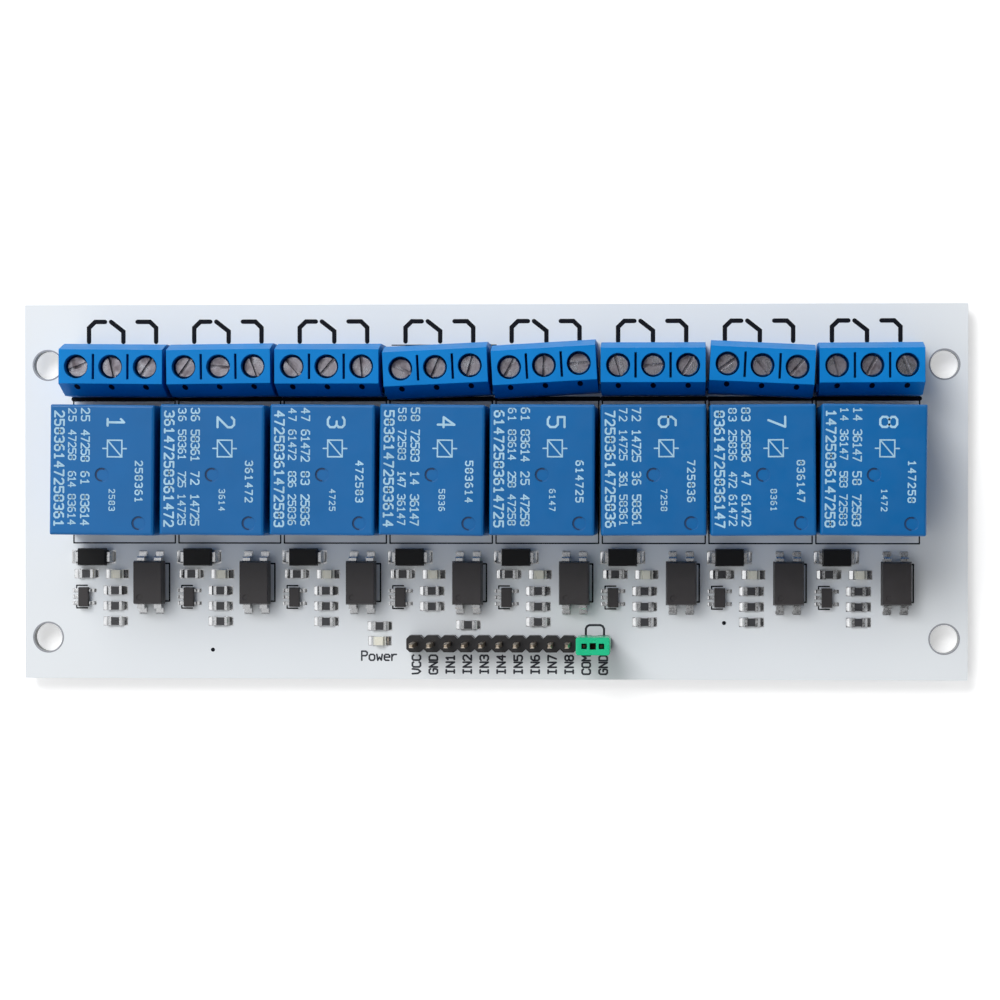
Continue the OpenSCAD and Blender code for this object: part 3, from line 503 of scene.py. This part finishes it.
# Strokes of the generic lettering, on a grid 0.6 wide and 1 high.
LETTERS = {
    "V": [[(0, 1), (0.06, 0.3), (0.3, 0), (0.54, 0.3), (0.6, 1)]],
    "C": [[(0.6, 0.85), (0.5, 1), (0.15, 1), (0, 0.85), (0, 0.15), (0.15, 0), (0.5, 0), (0.6, 0.15)]],
    "G": [
        [(0.6, 0.85), (0.5, 1), (0.15, 1), (0, 0.85), (0, 0.15), (0.15, 0), (0.5, 0), (0.6, 0.15),
         (0.6, 0.5), (0.35, 0.5)]
    ],
    "N": [[(0, 0), (0, 1), (0.6, 0), (0.6, 1)]],
    "D": [[(0, 0), (0, 1), (0.4, 1), (0.6, 0.8), (0.6, 0.2), (0.4, 0), (0, 0)]],
    "I": [[(0.1, 0), (0.5, 0)], [(0.3, 0), (0.3, 1)], [(0.1, 1), (0.5, 1)]],
    "O": [
        [(0.15, 0), (0, 0.15), (0, 0.85), (0.15, 1), (0.45, 1), (0.6, 0.85), (0.6, 0.15), (0.45, 0),
         (0.15, 0)]
    ],
    "M": [[(0, 0), (0, 1), (0.3, 0.5), (0.6, 1), (0.6, 0)]],
    "P": [[(0, 0), (0, 1), (0.45, 1), (0.6, 0.87), (0.6, 0.63), (0.45, 0.5), (0, 0.5)]],
    "o": [
        [(0.15, 0), (0, 0.15), (0, 0.5), (0.15, 0.65), (0.45, 0.65), (0.6, 0.5), (0.6, 0.15),
         (0.45, 0), (0.15, 0)]
    ],
    "w": [[(0, 0.65), (0.1, 0), (0.3, 0.35), (0.5, 0), (0.6, 0.65)]],
    "e": [
        [(0, 0.35), (0.6, 0.35), (0.6, 0.5), (0.45, 0.65), (0.15, 0.65), (0, 0.5), (0, 0.15),
         (0.15, 0), (0.5, 0)]
    ],
    "r": [[(0, 0), (0, 0.65)], [(0, 0.4), (0.2, 0.65), (0.5, 0.65)]],
    "1": [[(0.1, 0.8), (0.3, 1), (0.3, 0)], [(0.1, 0), (0.5, 0)]],
    "2": [[(0, 0.85), (0.15, 1), (0.45, 1), (0.6, 0.85), (0.6, 0.62), (0, 0), (0.6, 0)]],
    "3": [
        [(0, 0.9), (0.15, 1), (0.45, 1), (0.6, 0.87), (0.6, 0.65), (0.45, 0.53), (0.25, 0.53)],
        [(0.45, 0.53), (0.6, 0.4), (0.6, 0.13), (0.45, 0), (0.15, 0), (0, 0.1)],
    ],
    "4": [[(0.45, 0), (0.45, 1), (0, 0.35), (0.6, 0.35)]],
    "5": [
        [(0.6, 1), (0, 1), (0, 0.6), (0.45, 0.6), (0.6, 0.45), (0.6, 0.15), (0.45, 0), (0.15, 0),
         (0, 0.1)]
    ],
    "6": [
        [(0.5, 1), (0.2, 1), (0, 0.75), (0, 0.15), (0.15, 0), (0.45, 0), (0.6, 0.15), (0.6, 0.4),
         (0.45, 0.55), (0, 0.55)]
    ],
    "7": [[(0, 1), (0.6, 1), (0.2, 0)]],
    "8": [
        [(0.15, 0.53), (0, 0.68), (0, 0.87), (0.15, 1), (0.45, 1), (0.6, 0.87), (0.6, 0.68),
         (0.45, 0.53), (0.15, 0.53), (0, 0.38), (0, 0.13), (0.15, 0), (0.45, 0), (0.6, 0.13),
         (0.6, 0.38), (0.45, 0.53)]
    ],
}


def write(piece, words, start, height, pitch, pen, turn=0.0, low=0.0, high=0.0):
    """Writes words from start, the lower left corner, turned by an angle in degrees."""
    turned = Matrix.Rotation(math.radians(turn), 2)
    for place, letter in enumerate(words):
        for strokes in LETTERS.get(letter, []):
            points = [
                Vector(start) + turned @ Vector((place * pitch + x * height, y * height))
                for x, y in strokes
            ]
            piece.stroke(points, pen, low, high)


def board_legends():
    low, high = BOARD_TOP + INK_LOW, BOARD_TOP + INK_HIGH
    bold = Piece()
    thin = Piece()
    for channel in CHANNELS:
        x = channel_x(channel)
        # The three contacts drawn behind each terminal: closed, moving and open.
        for points in (
            [(-5.33, 23.9), (-5.33, 26.0), (-4.4, 26.9), (-2.91, 26.9)],
            [(-2.0, 26.9), (-0.14, 25.45), (-0.14, 23.9)],
            [(2.0, 26.9), (3.88, 26.9), (4.8, 26.0), (4.8, 23.9)],
        ):
            bold.ribbon([(x + a, b) for a, b in points], 0.66, low, high)
        # The outline round the relay, with its heavy back edge.
        back, front, half = 15.32, -6.23, 7.66
        bold.ribbon([(x - half, back), (x + half, back)], 0.7, low, high)
        thin.stroke(
            [(x - half, back), (x - half, front), (x + half, front), (x + half, back)], 0.2, low, high
        )
        # The box beside each optocoupler.
        side = x + 6.3
        thin.stroke(
            [(side - 0.48, -9.3), (side + 0.48, -9.3), (side + 0.48, -14.95), (side - 0.48, -14.95)],
            0.22, low, high,
        )
        # Corner marks round the driver.
        driver = x - 6.05
        for s in (-1, 1):
            thin.stroke(
                [(driver - 1.2, -14.3 + s * 1.35), (driver - 1.2, -14.3 + s * 1.7),
                 (driver + 0.4, -14.3 + s * 1.7)],
                0.2, low, high,
            )
    rims = Piece()
    for s in (-1, 1):
        for t in (-1, 1):
            rims.ring((s * 67.0, t * 20.4), 2.12, 2.34, low, high, 48)
    rims.finish("hole_rims", LEGEND_PALE, "resistor_black")
    for place in ((-42.14, -22.23), (34.38, -18.07)):
        bold.ring(place, 0.02, 0.3, low, high, 16)
    # The ends of the outlines round the fourth and fifth terminals.
    thin.ribbon([(-15.2, 23.35), (0.4, 23.35)], 0.16, low, high)
    bold.finish("legend_bold", LEGEND, "resistor_black")
    thin.finish("legend_thin", LEGEND, "resistor_black")


def pin_legends():
    low, high = BOARD_TOP + INK_LOW, BOARD_TOP + INK_HIGH
    legend = Piece()
    pins = [middle(b) for b in solids("header_pins")]
    words = ["VCC", "GND"] + [f"IN{k}" for k in range(1, 9)] + ["COM", "GND"]
    for pin, word in zip(pins, words):
        write(legend, word, (pin.x + 0.6, -25.75), 1.2, 1.02, 0.27, 90, low, high)
    # The link drawn round the two pins that carry the jumper.
    left, right = pins[-2].x - 0.05, pins[-1].x + 0.12
    legend.ribbon(
        [(left, -20.3), (left, -18.95), (left + 0.2, -18.58), (left + 0.55, -18.42),
         (right - 0.55, -18.42), (right - 0.2, -18.58), (right, -18.95), (right, -20.3)],
        0.32, low, high,
    )
    legend.finish("legend_pins", LEGEND_SOFT, "resistor_black")
    power = Piece()
    write(power, "Power", (-19.75, -23.75), 1.35, 1.13, 0.24, 0, low, high)
    power.finish("legend_power", LEGEND_SOFT, "resistor_black")


def relay_print(channel):
    """Rows of plain numbers, the channel's number and a coil symbol, in pale ink on the top."""
    low_corner, high_corner = box_mm(f"relay_case_{channel}")
    centre = (low_corner + high_corner) / 2
    at = Matrix.Translation((centre.x, centre.y, high_corner.z)) @ Matrix.Rotation(
        math.radians(RELAY_SKEW[channel - 1]), 4, "Z"
    )
    ink = Piece(at)
    low, high = INK_LOW, 0.012

    def numbers(x, runs, height, pitch, pen):
        """Rows of plain numbers that read down the relay."""
        for place, (top, bottom) in enumerate(runs):
            count = max(1, round((top - bottom) / pitch))
            words = "".join(str((k * 3 + place * 2 + channel) % 8 + 1) for k in range(count))
            write(ink, words, (x, top), height, (top - bottom) / count, pen, -90, low, high)

    numbers(-6.85, [(8.4, -8.6)], 1.3, 1.22, 0.26)
    numbers(-4.85, [(8.8, 6.6), (5.7, 1.2), (-0.3, -2.6), (-3.6, -8.2)], 1.05, 0.9, 0.18)
    numbers(-3.0, [(8.85, 6.7), (5.7, 1.0), (-0.3, -2.5), (-3.6, -8.2)], 1.15, 0.95, 0.2)
    numbers(4.9, [(1.3, -5.0)], 1.0, 1.05, 0.2)
    numbers(1.1, [(-2.8, -6.2)], 0.8, 0.85, 0.15)
    # The channel's own number, and a coil drawn as a box with a line through it.
    write(ink, str(channel), (0.8, 7.6), 2.4, 1.0, 0.32, -90, low, high)
    ink.ribbon([(0.8, 4.3), (2.9, 4.3), (2.9, 1.9), (0.8, 1.9)], 0.2, low, high, True)
    ink.ribbon([(0.9, 4.2), (2.8, 2.0)], 0.2, low, high)
    for side in (-1, 1):
        ink.ribbon([(1.85 + side * 1.15, 3.1), (1.85 + side * 1.7, 3.1)], 0.2, low, high)
    # Painted shade: a dark arc along the left wall of each shallow recess.
    recess = Piece(at)
    for x, y in ((0, -0.7), (5.4, -7.65)):
        arc = [math.radians(70 + 14 * k) for k in range(15)]
        recess.ribbon([(x + 0.87 * math.cos(a), y + 0.87 * math.sin(a)) for a in arc], 0.2, -0.149, -0.1)
    recess.finish(f"relay_recess_{channel}", RECESS_SHADE, "relay_blue")
    ink.finish(f"relay_print_{channel}", RELAY_INK, "board_white")


# ---- Pads and solder ----

PAD_HIGH = BOARD_TOP + 0.03
PAD_LOW = BOARD_TOP - 0.01
# A fillet's sections: how far out over the pad, how high and how wide, as shares.
FILLET_FORM = [
    (-0.05, 1.0, 1.0), (0.15, 0.55, 0.98), (0.4, 0.24, 0.94), (0.7, 0.08, 0.86), (0.92, 0.01, 0.72)
]


def add_pads(pads, fillets, lead_node, body_node, axis, inside, outside, side, rise):
    """A pad under each lead, and a solder fillet up its outer end."""
    bodies = [middle(b) for b in solids(body_node)]
    across = 1 - axis
    for low, high in solids(lead_node):
        lead = (low + high) / 2
        body = min(bodies, key=lambda b: (b - lead).length)
        out = 1 if lead[axis] > body[axis] else -1
        tip = high[axis] if out > 0 else low[axis]
        root = low[axis] if out > 0 else high[axis]
        half = (high[across] - low[across]) / 2 + side

        def corner(along, over, up):
            point = [0.0, 0.0, up]
            point[axis] = along
            point[across] = lead[across] + over
            return tuple(point)

        start = root - out * inside if inside is not None else tip - out * 0.5
        ends = sorted((start, tip + out * outside))
        pads.slab(corner(ends[0], -half, PAD_LOW), corner(ends[1], half, PAD_HIGH))
        base = PAD_HIGH
        sections = []
        for reach, up, lean in FILLET_FORM:
            along = tip + out * outside * reach
            w = (half - side * 0.35) * lean
            sections.append(
                [corner(along, -w, base + rise * up), corner(along, w, base + rise * up),
                 corner(along, w, base - 0.02), corner(along, -w, base - 0.02)]
            )
        fillets.loft(sections)


def optocoupler_leads():
    """Gull-wing leads a little shorter than the plain solids."""
    leads = Piece()
    thick, short = 0.25, 0.2
    bodies = [middle(b) for b in solids("optocoupler_bodies")]
    for low, high in solids("optocoupler_leads"):
        lead = (low + high) / 2
        body = min(bodies, key=lambda b: (b - lead).length)
        out = 1 if lead.y > body.y else -1
        root, tip = (low.y, high.y - short) if out > 0 else (high.y, low.y + short)
        reach = abs(tip - root)
        knee, foot, top, floor_z = reach * 0.35, reach * 0.5, high.z, low.z
        outline = [
            (0, top - thick), (knee - 0.05, top - thick), (foot - thick, floor_z), (reach, floor_z),
            (reach, floor_z + thick), (foot, floor_z + thick), (knee + thick * 0.8, top - 0.06),
            (knee, top), (0, top),
        ]
        leads.loft([[(x, root + out * y, z) for y, z in outline] for x in (low.x, high.x)])
    piece = leads.finish("optocoupler_gull_leads", MATERIALS["tinned_pins"], "tinned_pins")
    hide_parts("optocoupler_leads")


def solder_work():
    pads, fillets = Piece(), Piece()
    add_pads(pads, fillets, "resistor_caps", "resistor_chips", 0, 0.15, 0.85, 0.08, 0.42)
    add_pads(pads, fillets, "diode_leads", "diode_bodies", 0, 0.1, 0.75, 0.28, 0.8)
    add_pads(pads, fillets, "optocoupler_leads", "optocoupler_bodies", 1, None, -0.08, 0.1, 0.22)
    add_pads(pads, fillets, "driver_leads", "driver_bodies", 0, None, 0.3, 0.1, 0.14)
    # The LEDs' ends are part of their laminate, so their pads are set from it.
    for low, high in solids("led_bases"):
        for out, end in ((-1, low.x), (1, high.x)):
            ends = sorted((end - out * 0.4, end + out * 0.75))
            pads.slab((ends[0], low.y - 0.08, PAD_LOW), (ends[1], high.y + 0.08, PAD_HIGH))
            sections = []
            for reach, up in ((-0.04, 0.34), (0.12, 0.18), (0.35, 0.08), (0.65, 0.02)):
                x = end + out * reach
                sections.append(
                    [(x, low.y, PAD_HIGH + up), (x, high.y, PAD_HIGH + up),
                     (x, high.y, BOARD_TOP + 0.01), (x, low.y, BOARD_TOP + 0.01)]
                )
            fillets.loft(sections)
    pads.finish("solder_pads", PAD, "solder")
    fillets.finish("solder_fillets", FILLET, "solder")
    under = Piece()
    for low, high in solids("solder_joints"):
        radius = (high.x - low.x) / 2
        centre = middle((low, high))
        under.ring(centre, radius * 0.8, radius + 0.18, BOARD_UNDER - 0.03, BOARD_UNDER + 0.01, 24)
    under.finish("pad_rings", PAD, "solder")


# ---- Screws ----

SCREW_R = 1.53
SHAFT_R = 1.25
HEAD_H = 1.1
HEAD_SINK = 0.4
SLOT_W = 0.5
SLOT_DEPTH = 0.6
# The slope behind the housings' flat top: its drop and run, and how far back of a screw it starts.
SLOPE_DROP = 4.5
SLOPE_RUN = 1.65
SLOPE_START = 2.5
TEST_HOLE_BACK = 0.43


def circle(radius, count=28):
    turns = [2 * math.pi * k / count for k in range(count)]
    return [(math.cos(a) * radius, math.sin(a) * radius) for a in turns]


def rings(outlines):
    """Sections from (outline, height) pairs."""
    return [[(x, y, z) for x, y in outline] for outline, z in outlines]


def screw_head(screws, top, tip):
    """Two half-moons beside the slot, on a disc and its shaft."""
    start = math.asin(SLOT_W / 2 / SCREW_R)
    for side in (0, math.pi):
        arc = [side + start + (math.pi - 2 * start) * k / 14 for k in range(15)]
        screws.loft(
            [
                [(math.cos(a) * r, math.sin(a) * r, z) for a in arc]
                for r, z in (
                    (SCREW_R, top - HEAD_H), (SCREW_R, top - 0.14), (SCREW_R - 0.14, top),
                )
            ]
        )
    screws.loft(
        rings(
            [
                (circle(SHAFT_R - 0.2), tip), (circle(SHAFT_R), tip + 0.2),
                (circle(SHAFT_R), top - HEAD_H), (circle(SCREW_R - 0.01), top - HEAD_H),
                (circle(SCREW_R - 0.01), top - SLOT_DEPTH),
            ]
        )
    )


def test_hole(holes, spot, skew, roof):
    """Painted shade: a flat dark disc on the slope behind a screw, for the mouth of its small hole."""
    turn = Matrix.Rotation(skew, 4, "Z")
    back = turn @ Vector((0, -SLOPE_START - TEST_HOLE_BACK, 0))
    height = roof - TEST_HOLE_BACK * SLOPE_DROP / SLOPE_RUN + 0.02
    holes.at = (
        Matrix.Translation((spot.x + back.x, spot.y + back.y, height))
        @ turn @ Matrix.Rotation(math.atan2(SLOPE_DROP, SLOPE_RUN), 4, "X")
    )
    mouth = [(x * 0.4, y * 0.95) for x, y in circle(1)]
    holes.loft(rings([(mouth, -0.02), (mouth, 0.02)]))


def screw_heads():
    """Slotted screws with a chamfered rim, sunk a little deeper than the plain solids."""
    screws, holes = Piece(), Piece()
    boxes = solids("terminal_screws")
    for channel in CHANNELS:
        own = [b for b in boxes if abs(middle(b).x - channel_x(channel)) < CHANNEL_PITCH / 2]
        own.sort(key=lambda b: b[0].x)
        across = middle(own[-1]) - middle(own[0])
        skew = math.atan2(across.y, across.x)
        roof = box_mm(f"terminal_housing_{channel}")[1].z
        for pole, box in enumerate(own):
            spot = middle(box)
            turn = math.radians(SLOT_ANGLES[channel - 1][pole])
            screws.at = Matrix.Translation((spot.x, spot.y, 0)) @ Matrix.Rotation(turn, 4, "Z")
            screw_head(screws, box[1].z - HEAD_SINK, box[0].z)
            test_hole(holes, spot, skew, roof)
    heads = screws.finish("screw_heads", MATERIALS["screw_steel"], "screw_steel")
    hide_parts("terminal_screws")
    holes.finish("probe_hole_shades", HOLE_SHADE, "terminal_blue")


# ---- All the pieces ----

board_legends()
pin_legends()
screw_heads()
optocoupler_leads()
for channel in CHANNELS:
    relay_print(channel)
solder_work()


# ---- Studio ----


def floor():
    """A white floor that keeps the shadow and glows a little where it is seen."""
    mesh = bpy.data.meshes.new("floor")
    half = 3.0
    z = cad_bounds[0].z - 0.00005
    corners = [(-half, -half, z), (half, -half, z), (half, half, z), (-half, half, z)]
    mesh.from_pydata(corners, [], [(0, 1, 2, 3)])
    obj = bpy.data.objects.new("floor", mesh)
    scene.collection.objects.link(obj)
    material = bpy.data.materials.new("floor_white")
    material.use_nodes = True
    tree = material.node_tree
    tree.nodes.clear()
    diffuse = tree.nodes.new("ShaderNodeBsdfDiffuse")
    diffuse.inputs["Color"].default_value = (0.86, 0.86, 0.86, 1)
    glow = tree.nodes.new("ShaderNodeEmission")
    path = tree.nodes.new("ShaderNodeLightPath")
    seen = tree.nodes.new("ShaderNodeMath")
    seen.operation = "MAXIMUM"
    tree.links.new(path.outputs["Is Camera Ray"], seen.inputs[0])
    tree.links.new(path.outputs["Is Glossy Ray"], seen.inputs[1])
    clear = tree.nodes.new("ShaderNodeMath")
    clear.operation = "MAXIMUM"
    tree.links.new(seen.outputs[0], clear.inputs[0])
    tree.links.new(path.outputs["Is Transmission Ray"], clear.inputs[1])
    scale = tree.nodes.new("ShaderNodeMath")
    scale.operation = "MULTIPLY"
    scale.inputs[1].default_value = 0.42
    tree.links.new(clear.outputs[0], scale.inputs[0])
    tree.links.new(scale.outputs[0], glow.inputs["Strength"])
    both = tree.nodes.new("ShaderNodeAddShader")
    tree.links.new(diffuse.outputs[0], both.inputs[0])
    tree.links.new(glow.outputs[0], both.inputs[1])
    out = tree.nodes.new("ShaderNodeOutputMaterial")
    tree.links.new(both.outputs[0], out.inputs["Surface"])
    mesh.materials.append(material)


def world():
    """A pale studio: bright at the horizon and to the upper left, dim to the right."""
    studio = bpy.data.worlds.new("studio")
    scene.world = studio
    studio.use_nodes = True
    tree = studio.node_tree
    place = tree.nodes.new("ShaderNodeTexCoord")
    split = tree.nodes.new("ShaderNodeSeparateXYZ")
    tree.links.new(place.outputs["Generated"], split.inputs[0])

    def span(socket, low, high, to_low, to_high):
        node = tree.nodes.new("ShaderNodeMapRange")
        node.interpolation_type = "SMOOTHSTEP"
        for name, number in zip(("From Min", "From Max", "To Min", "To Max"), (low, high, to_low, to_high)):
            node.inputs[name].default_value = number
        tree.links.new(socket, node.inputs["Value"])
        return node.outputs["Result"]

    overhead = span(split.outputs["X"], -0.34, 0.1, 1.3, 0.06)
    share = span(split.outputs["Z"], 0.45, 0.8, 0.0, 1.0)
    mix = tree.nodes.new("ShaderNodeMix")
    mix.inputs["A"].default_value = 0.62
    tree.links.new(share, mix.inputs["Factor"])
    tree.links.new(overhead, mix.inputs["B"])
    background = tree.nodes["Background"]
    background.inputs["Color"].default_value = (0.985, 0.99, 1.0, 1)
    tree.links.new(mix.outputs[0], background.inputs["Strength"])


def softbox(name, place, aim, size, power):
    data = bpy.data.lights.new(name, "AREA")
    data.shape = "RECTANGLE"
    data.size, data.size_y = size
    data.energy = power
    lamp = bpy.data.objects.new(name, data)
    lamp.location = place
    lamp.rotation_euler = (Vector(aim) - Vector(place)).to_track_quat("-Z", "Y").to_euler()
    scene.collection.objects.link(lamp)


def camera():
    """Straight above the board; the shifts stand for the picture's own crop."""
    data = bpy.data.cameras.new("camera")
    data.sensor_width = 36
    data.lens = 98.5
    data.shift_x = -0.0793
    data.shift_y = 0.032
    data.clip_start = 0.01
    data.clip_end = 20
    obj = bpy.data.objects.new("camera", data)
    obj.location = Vector((28.353, 0.246, 409.25)) * MM
    obj.rotation_euler = (-0.0117, 0.0381, 0.0005)
    scene.collection.objects.link(obj)
    scene.camera = obj


floor()
world()
softbox("key", (-0.35, 0.55, 0.75), (0, 0, 0), (0.5, 0.5), 6.0)
camera()
scene.view_settings.view_transform = "Standard"
